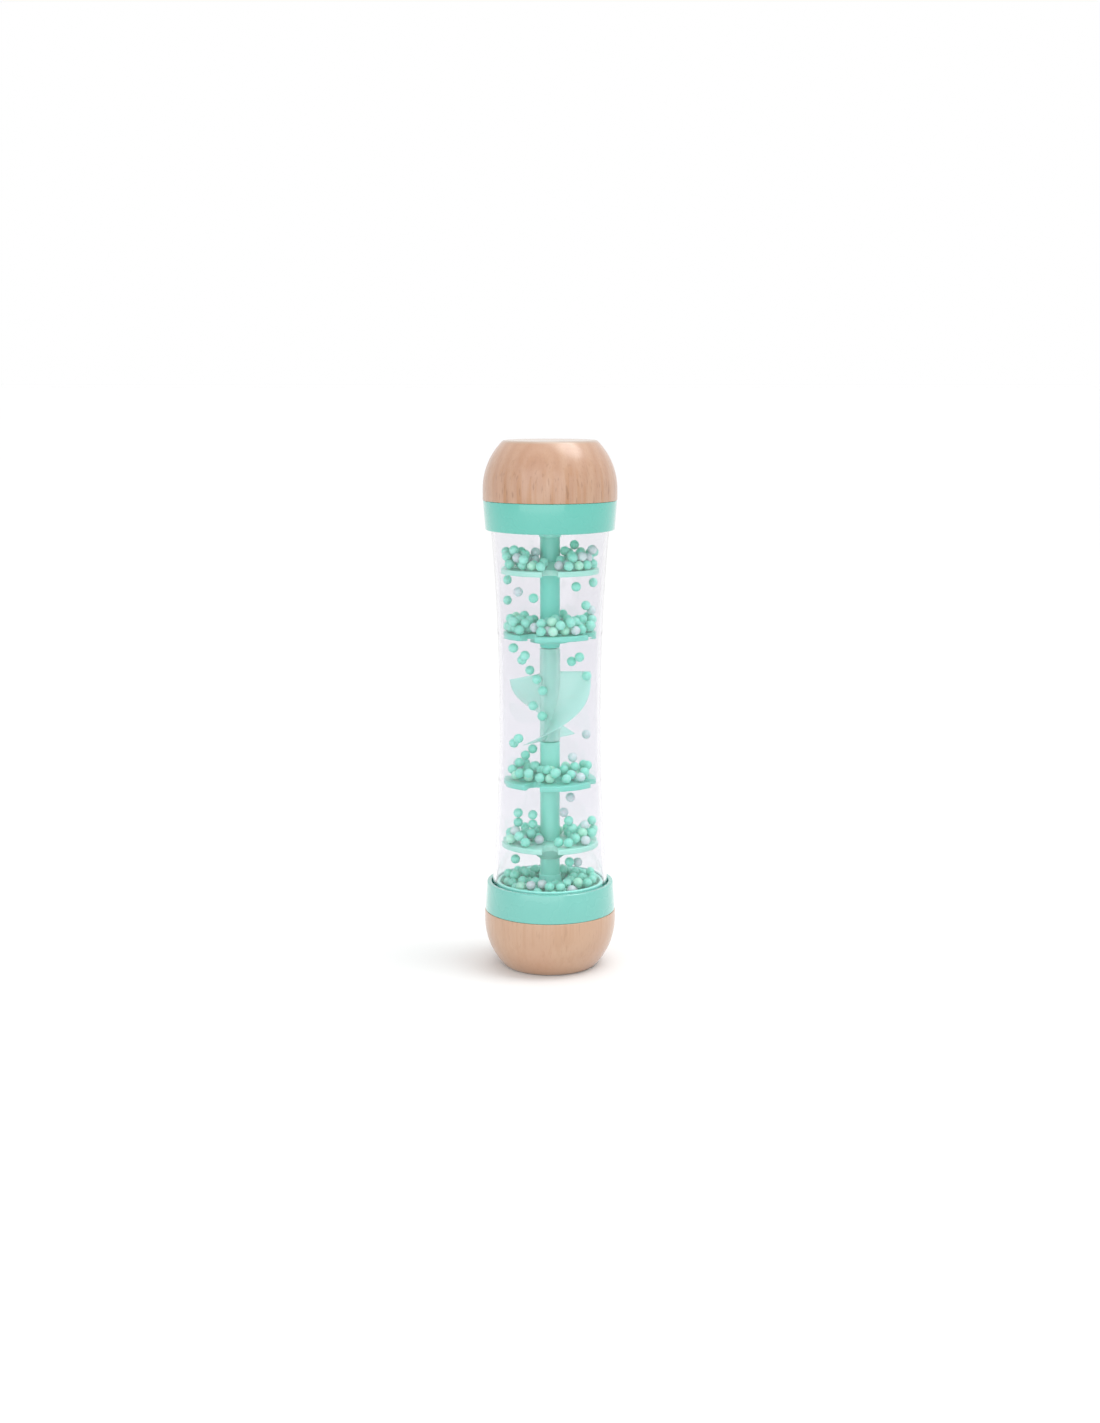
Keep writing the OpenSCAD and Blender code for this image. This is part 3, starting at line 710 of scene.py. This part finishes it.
def blade_point(side, face, u, v):
    """A point on a face (1 or -1) of a blade, u of the way down it and v of the way out."""
    rough_height, rough_width = 26, 12
    root, tip = HUB_R - 0.9, VANE_R - 0.15
    low, high = VANE_LOW + 0.05, VANE_HIGH - 0.05
    rad = root + (tip - root) * v
    top = high - (LEFT_DROP * rad / VANE_R if side < 0 else 0)
    z = top + (low - top) * u
    a = vane_angle(z)
    to_edge = min(u * rough_height, (1 - u) * rough_height, (1 - v) * rough_width)
    edge = min(1.0, to_edge / VANE_EDGE_R)
    thick = VANE_T / 2 + ROOT_FILLET * (1 - v) ** 6
    half = face * thick * math.sqrt(max(0.12, 1 - (1 - edge) ** 2))
    x = side * rad * math.cos(a) + half * math.sin(a)
    y = -side * rad * math.sin(a) + half * math.cos(a)
    return x * MM, y * MM, z * MM


def blade(side):
    """A twisted blade, thicker at its root. side is 1 for the right one and -1 for the left."""
    rows, cols = 44, 12
    bm = bmesh.new()
    front, back = (
        [[bm.verts.new(blade_point(side, face, i / rows, j / cols)) for j in range(cols + 1)]
         for i in range(rows + 1)]
        for face in (1, -1)
    )
    for i in range(rows):
        for j in range(cols):
            for grid in (front, back):
                bm.faces.new((grid[i][j], grid[i][j + 1], grid[i + 1][j + 1], grid[i + 1][j]))
        for j in (0, cols):
            bm.faces.new((front[i][j], front[i + 1][j], back[i + 1][j], back[i][j]))
    for j in range(cols):
        for i in (0, rows):
            bm.faces.new((front[i][j], front[i][j + 1], back[i][j + 1], back[i][j]))
    return mesh_object("blade", bm, 50)


def spinner():
    """The hub with its two blades."""
    low, high = (corner.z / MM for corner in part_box("spinner"))
    bore = AXLE_R + 0.08
    profile = [(bore, low, 0.15), (HUB_R, low, 0.4), (HUB_R, high, 0.4), (bore, high, 0.15)]
    obj = lathe("moulded_spinner", rounded(profile, closed=True), 72)
    for side in (1, -1):
        combine(obj, blade(side), "UNION")
    shade_smooth(obj.data, 45)
    return stand_for(obj, "spinner", VANE_MINT)


spinner()


# ---- beads -----------------------------------------------------------------

BEAD_R = 1.8
BODY_R = BEAD_R - 0.03
SEAM_HEIGHT = 0.025
GATE_ANGLE = 14


def bead_bmesh():
    """One moulded bead: a sphere with a faint parting ridge and a dished gate mark at one pole."""
    rise = [3, 9, 20, 32, 44, 56, 68]
    profile = [(0, -BODY_R)]
    for a in [-80] + [-a for a in reversed(rise)] + [0] + rise + [90 - GATE_ANGLE]:
        r = BODY_R + (SEAM_HEIGHT if a == 0 else 0)
        profile.append((r * math.cos(math.radians(a)), r * math.sin(math.radians(a))))
    gate_z = profile[-1][1]
    profile += [(0.16, gate_z - 0.02), (0, gate_z - 0.07)]
    return lathe_bmesh(profile, 28)


def islands(mesh):
    """The vertex numbers of each connected piece of a mesh."""
    parent = list(range(len(mesh.vertices)))

    def root(i):
        while parent[i] != i:
            parent[i] = parent[parent[i]]
            i = parent[i]
        return i

    for edge in mesh.edges:
        a, b = root(edge.vertices[0]), root(edge.vertices[1])
        if a != b:
            parent[b] = a
    groups = {}
    for i in range(len(parent)):
        groups.setdefault(root(i), []).append(i)
    return list(groups.values())


def bead_centres(node):
    """Where a CAD node's beads are, in a fixed order. A seam can leave a bead in more than one piece."""
    mesh = NODES[node].data
    found = []
    for group in islands(mesh):
        points = [mesh.vertices[i].co for i in group]
        low = Vector(min(p[k] for p in points) for k in range(3))
        high = Vector(max(p[k] for p in points) for k in range(3))
        centre = (low + high) / 2
        if all((centre - c).length > BEAD_R * MM for c in found):
            found.append(centre)
    return sorted(found, key=lambda c: tuple(round(v, 5) for v in c))


def beads(node, seed):
    """All of a node's beads as one object, each turned its own way and with its own tone."""
    rng = random.Random(seed)
    one = bead_bmesh()
    one.verts.index_update()
    shape = [v.co.copy() for v in one.verts]
    faces = [[v.index for v in f.verts] for f in one.faces]
    one.free()
    bm = bmesh.new()
    tone = bm.verts.layers.float.new("tone")
    for centre in bead_centres(node):
        about, over = rng.uniform(0, 6.28), rng.uniform(0, 3.14)
        turn = Matrix.Rotation(about, 3, "Z") @ Matrix.Rotation(over, 3, "X")
        shade = rng.random()
        verts = []
        for co in shape:
            v = bm.verts.new(centre + turn @ co)
            v[tone] = shade
            verts.append(v)
        for face in faces:
            bm.faces.new([verts[i] for i in face])
    return stand_for(mesh_object(node + "_set", bm, 60), node, BEAD_PAINT[SLOT_OF[node]])


for seed, node in enumerate(n for n in sorted(NODES) if SLOT_OF[n].startswith("bead")):
    beads(node, seed)

for node in NODES:
    if SLOT_OF[node] == "zinc_steel":
        paint_cad(node, ZINC)


# ---- stage, light and camera -----------------------------------------------

FLOOR_HALF_WIDTH = 40
FLOOR_GREY = 0.77
CAMERA_PLACE = (0, -0.7206, 0.2235)
CAMERA_TILT = 0.172
CAMERA_LENS = 48.95


def floor():
    """A plain pale floor, just bright enough to pass into the white room."""
    bm = bmesh.new()
    bmesh.ops.create_grid(bm, x_segments=1, y_segments=1, size=FLOOR_HALF_WIDTH)
    obj = mesh_object("studio_floor", bm)
    s = Shader("studio_floor")
    s.set(Base_Color=(FLOOR_GREY, FLOOR_GREY, FLOOR_GREY, 1), Roughness=0.9, Specular_IOR_Level=0.1)
    obj.data.materials.append(s.material)


def lamp(name, kind, place, energy, **settings):
    """A lamp that looks at the middle of the stick."""
    data = bpy.data.lights.new(name, kind)
    data.energy = energy
    for key, value in settings.items():
        setattr(data, key, value)
    obj = bpy.data.objects.new(name, data)
    obj.location = place
    aim = Vector((0, 0, MID_Z * MM)) - Vector(place)
    obj.rotation_euler = aim.to_track_quat("-Z", "Y").to_euler()
    bpy.context.scene.collection.objects.link(obj)


def panel(name, place, energy, width, height):
    lamp(name, "AREA", place, energy, shape="RECTANGLE", size=width, size_y=height)


def studio():
    """A white room, a soft key high on the right and a large panel on the left and in front."""
    world = bpy.data.worlds.new("studio")
    world.use_nodes = True
    background = world.node_tree.nodes["Background"]
    background.inputs["Color"].default_value = (1, 1, 1, 1)
    background.inputs["Strength"].default_value = 1.0
    bpy.context.scene.world = world
    lamp("key", "SUN", (0.5, -0.1, 1.05), 1.1, angle=math.radians(32))
    panel("front_left_panel", (-0.31, -1.19, 0.35), 8, 2.1, 1.2)
    panel("top_panel", (0.1, 0.15, 1.2), 2.6, 0.7, 0.7)
    bpy.context.scene.view_settings.view_transform = "Standard"


def camera():
    """The view from 0.72 m in front of the stick, a little above its top, looking slightly down."""
    data = bpy.data.cameras.new("camera")
    data.sensor_width = 36
    data.lens = CAMERA_LENS
    data.clip_start = 0.01
    obj = bpy.data.objects.new("camera", data)
    obj.location = CAMERA_PLACE
    obj.rotation_euler = (math.pi / 2 - CAMERA_TILT, 0, 0)
    bpy.context.scene.collection.objects.link(obj)
    bpy.context.scene.camera = obj


floor()
studio()
camera()
